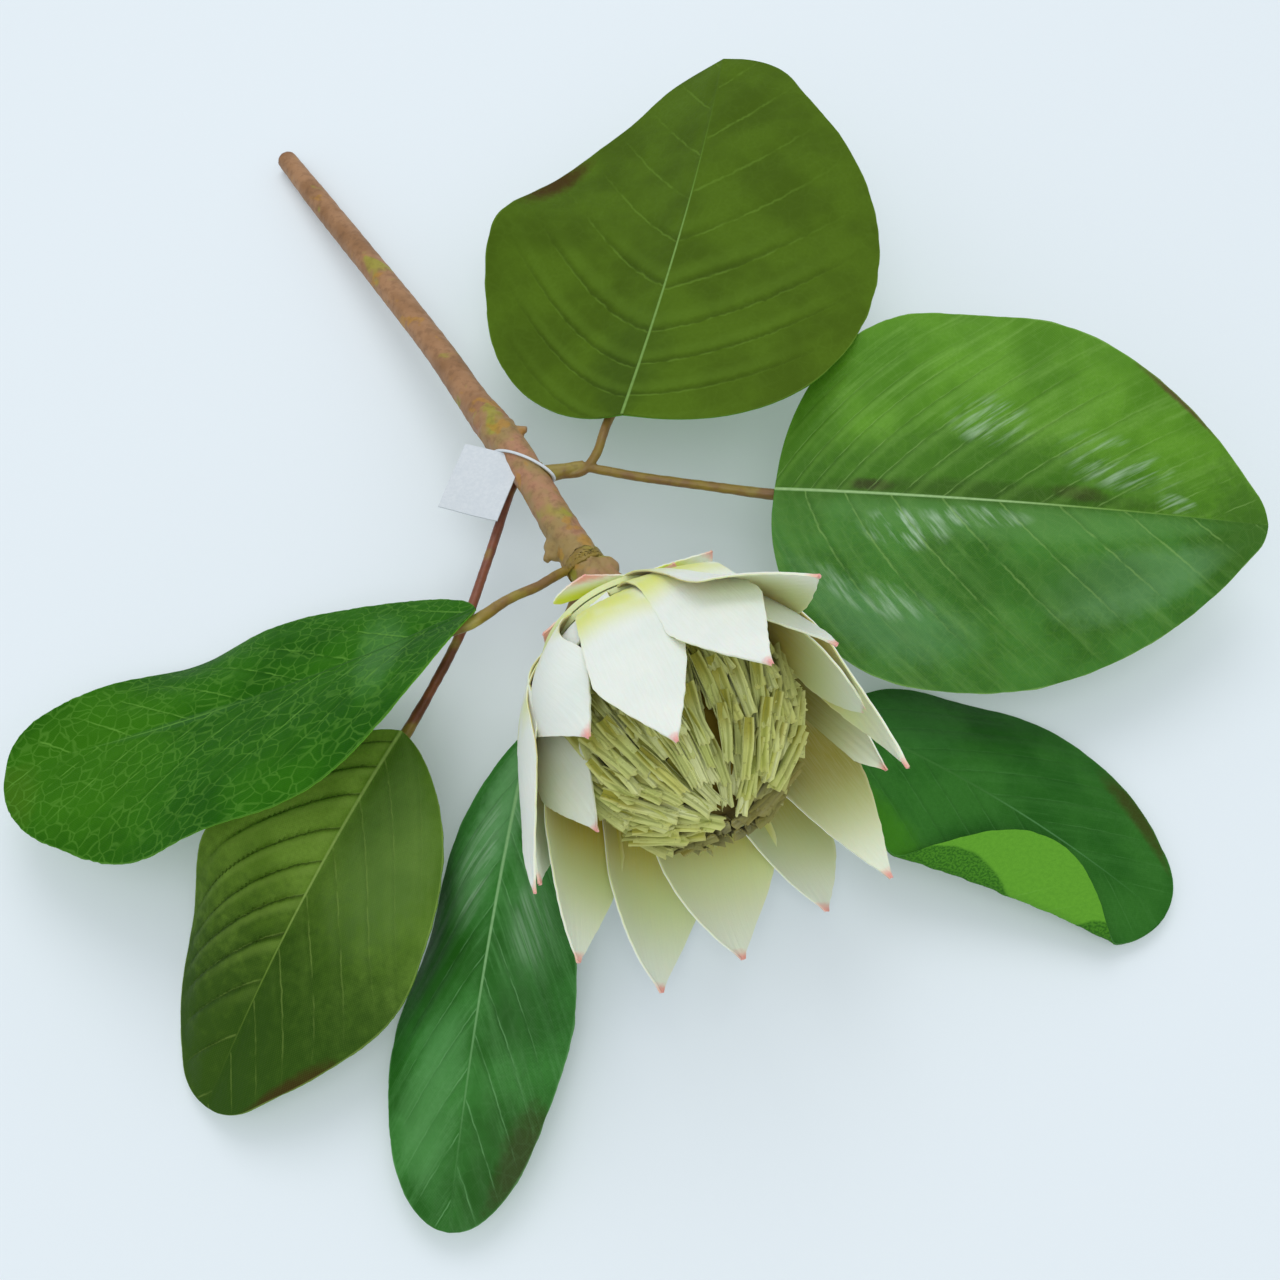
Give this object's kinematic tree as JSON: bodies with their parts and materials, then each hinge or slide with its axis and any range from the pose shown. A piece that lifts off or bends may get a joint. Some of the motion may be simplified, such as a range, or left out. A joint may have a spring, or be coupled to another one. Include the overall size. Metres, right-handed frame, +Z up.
{
  "type": "artificial protea flower stem",
  "caption": "Artificial protea lying on its side: white pointed bracts round a dome of pale green cut strips, on a moulded brown stem with wired fabric leaves and a blank label.",
  "frame": {"origin": "middle of the part's extent at the height of the surface it lies on", "axes": "+Z up from the table, +Y towards the cut end of the stem, +X to the right when the flower faces the viewer"},
  "size_m": [0.381, 0.3914, 0.1216],
  "materials": {
    "stem": "moulded brown plastic with yellow-green patches at the nodes",
    "stalk_olive": "semi-gloss moulded olive and ochre plastic over wire",
    "stalk_red": "semi-gloss moulded red-brown plastic over wire",
    "leaf_top": "pressed coated fabric, olive green with a pale midrib",
    "leaf_right": "pressed coated fabric, bright glossy green",
    "leaf_left": "pressed coated fabric, mid green with pale net veins and a frayed edge",
    "leaf_lower_left": "pressed coated fabric, olive with strong pleats",
    "leaf_bottom": "pressed coated fabric, bluish glossy green",
    "leaf_lower_right": "pressed coated fabric, dark green, with its far margin folded over",
    "bract": "satin fabric, white outside and cream to sage green inside, with pink tips",
    "centre": "pale green cut strips over a foam core",
    "label": "blank matt white paper"
  },
  "bodies": {
    "root": {"stem": "stem", "label": "label", "stalk_fork": "stalk_olive", "stalk_left": "stalk_olive", "stalk_lower_left": "stalk_red", "stalk_bottom": "stalk_olive", "stalk_lower_right": "stalk_olive", "leaf_top": "leaf_top", "leaf_right": "leaf_right", "leaf_left": "leaf_left", "leaf_lower_left": "leaf_lower_left", "leaf_bottom": "leaf_bottom", "leaf_lower_right": "leaf_lower_right", "bracts_inner": "bract", "bracts_middle": "bract", "bracts_outer": "bract", "flower_centre": "centre"}
  },
  "joints": []
}
